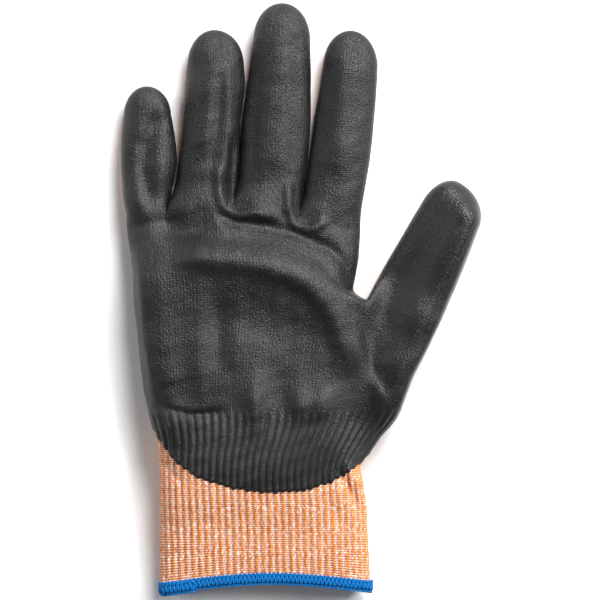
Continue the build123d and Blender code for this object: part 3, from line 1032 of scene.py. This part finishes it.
FOAM, KNIT_YARN = foam_material(), knit_material()
BLUE = thread_material("blue_thread", (0.0, 0.06, 0.24), (0.0, 0.24, 0.66), 0.9)
# A darker copy of the blue thread: painted shade for the band that shows between the hem's stitches
BLUE_IN_SHADE = thread_material("blue_thread_in_shade", (0.0, 0.02, 0.09), (0.0, 0.06, 0.24), 0.9)
ELASTIC = thread_material("covered_elastic", (0.55, 0.50, 0.44), (0.85, 0.82, 0.76), 0.5)


def dressed(obj, material, nodes):
    """Gives the piece its material and hides the CAD nodes it stands for."""
    obj.data.materials.append(material)
    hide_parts(*nodes)
    return obj


def bend_piece(obj, key):
    """Attaches a palm piece to the palm body; every other segment only has its transform baked into its mesh.
    """
    if key == "palm":
        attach(obj, "palm")
    elif key == "cuff":
        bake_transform(obj)
    elif key == "thumb_base":
        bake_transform(obj)
    elif key == "thumb_tip":
        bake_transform(obj)
    else:
        name, part = key.split("_")
        if part == "base":
            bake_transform(obj)
        else:
            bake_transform(obj)


def cad_nodes(key):
    """(liner node, coating node) of a segment."""
    if key == "cuff":
        return "rib_cuff", "wrist_coating"
    stem = key if key == "palm" or key.startswith("thumb") else key.replace("_", "_finger_")
    return f"{stem}_liner", f"{stem}_coating"


def elastic_hoop(y):
    """One hoop inside the cuff: the edge's ring drawn in by 2 mm and fitted to the cuff at y."""
    x, z, way = edge_frame(np.linspace(0, EDGE_LENGTH, 180, endpoint=False))
    left, right = table(LEFT, y), table(RIGHT, y)
    wide = (right - left) / (EDGE_RIGHT - EDGE_LEFT)
    tall = table(HEIGHT, y) / table(HEIGHT, EDGE_Y)
    px = (left + right) / 2 + (x - way[:, 0] * 2.0 - (EDGE_LEFT + EDGE_RIGHT) / 2) * wide
    pz = (z - way[:, 1] * 2.0) * tall
    return np.stack([px, y - hem_sag(px) * smooth((-96.0 - y) / 24.0), pz], axis=1)


# Pieces: knit and coating of every segment, then the hem's threads and the elastic
face_coat = np.max(coat[np.stack(corners())], axis=0)
for key, part in SEG.items():
    liner_node, coating_node = cad_nodes(key)
    mine = segment == part
    liner = shell(f"look_{liner_node}", mine, KNIT, KNIT_IN, KNIT_WAY)
    dressed(liner, KNIT_YARN, [liner_node])
    skin = shell(f"look_{coating_node}", mine & (face_coat > -1.0), SKIN, SKIN_IN, SKIN_WAY)
    dressed(skin, FOAM, [coating_node])
    bend_piece(liner, key)
    bend_piece(skin, key)

hem = overlock("look_hem_stitches", 0.0, EDGE_LENGTH, 0.0, 0.0, True)
# The band under the stitching gets the blue thread in painted shade, for the gaps between the strands
hem_band = band("look_hem_band", np.linspace(0, EDGE_LENGTH, 260, endpoint=False),
                [(HEM_TOP, -0.2), (HEM_TOP, 0.5), (HEM_LOW, 0.5), (HEM_LOW - 0.4, 0.0), (HEM_LOW - 0.4, -1.1),
                 (HEM_LOW, -1.5), (HEM_TOP, -1.45), (HEM_TOP, -0.9)])
for obj, thread in ((hem, BLUE), (hem_band, BLUE_IN_SHADE)):
    dressed(obj, thread, ["cuff_hem"])
    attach(obj, "cuff")
lap = overlock("look_hem_lap_stitches", 3.5, 18.0, -0.7, 0.3, False)
dressed(lap, BLUE, ["hem_lap"])
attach(lap, "cuff")

hoops = [elastic_hoop(-72.0 - 3.4 * k) for k in range(13)]
elastic = dressed(tubes("look_cuff_elastic", hoops, 0.25, True, 6), ELASTIC, ["cuff_elastic"])
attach(elastic, "cuff")

# Studio: a plain pale floor, one large soft light from the fingertips' right, and soft fill
floor_mesh = bpy.data.meshes.new("floor")
floor_mesh.from_pydata([(-3, -3, 0), (3, -3, 0), (3, 3, 0), (-3, 3, 0)], [], [(0, 1, 2, 3)])
floor = bpy.data.objects.new("floor", floor_mesh)
bpy.context.scene.collection.objects.link(floor)
floor_mat, _, floor_shader = node_tree("floor_paper", (0.95, 0.95, 0.95), 0.9)
floor_shader.inputs["Specular IOR Level"].default_value = 0.1
floor_mesh.materials.append(floor_mat)
floor.location.z = -0.0003


def soft_light(name, place, size, power):
    """An area light aimed at the glove."""
    data = bpy.data.lights.new(name, "AREA")
    data.shape = "RECTANGLE"
    data.size, data.size_y = size
    data.energy = power
    lamp = bpy.data.objects.new(name, data)
    bpy.context.scene.collection.objects.link(lamp)
    lamp.location = place
    away = np.array(place)
    lamp.rotation_euler = (math.acos(away[2] / np.linalg.norm(away)), 0, math.atan2(away[0], -away[1]))
    return lamp


soft_light("key", (0.46, 1.15, 1.1), (0.6, 0.5), 38)
soft_light("right", (1.12, 0.34, 1.15), (0.5, 0.6), 20)
soft_light("left", (-1.3, 0.6, 0.7), (0.5, 0.7), 6)
world = bpy.data.worlds.new("studio")
world.use_nodes = True
world.node_tree.nodes["Background"].inputs["Color"].default_value = (1, 1, 1, 1)
world.node_tree.nodes["Background"].inputs["Strength"].default_value = 0.2
bpy.context.scene.world = world

# Camera: straight down, taking in what the photograph shows, at half the glove's height
CAMERA_UP, HALF_SEEN, HALF_HEIGHT = 2.0, 0.1263, 0.012
camera_data = bpy.data.cameras.new("camera")
camera_data.angle = 2 * math.atan(HALF_SEEN / (CAMERA_UP - HALF_HEIGHT))
camera_data.clip_end = 20
camera = bpy.data.objects.new("camera", camera_data)
bpy.context.scene.collection.objects.link(camera)
camera.location = (-0.0002, 0.0, CAMERA_UP)
bpy.context.scene.view_settings.view_transform = "Standard"
bpy.context.scene.camera = camera
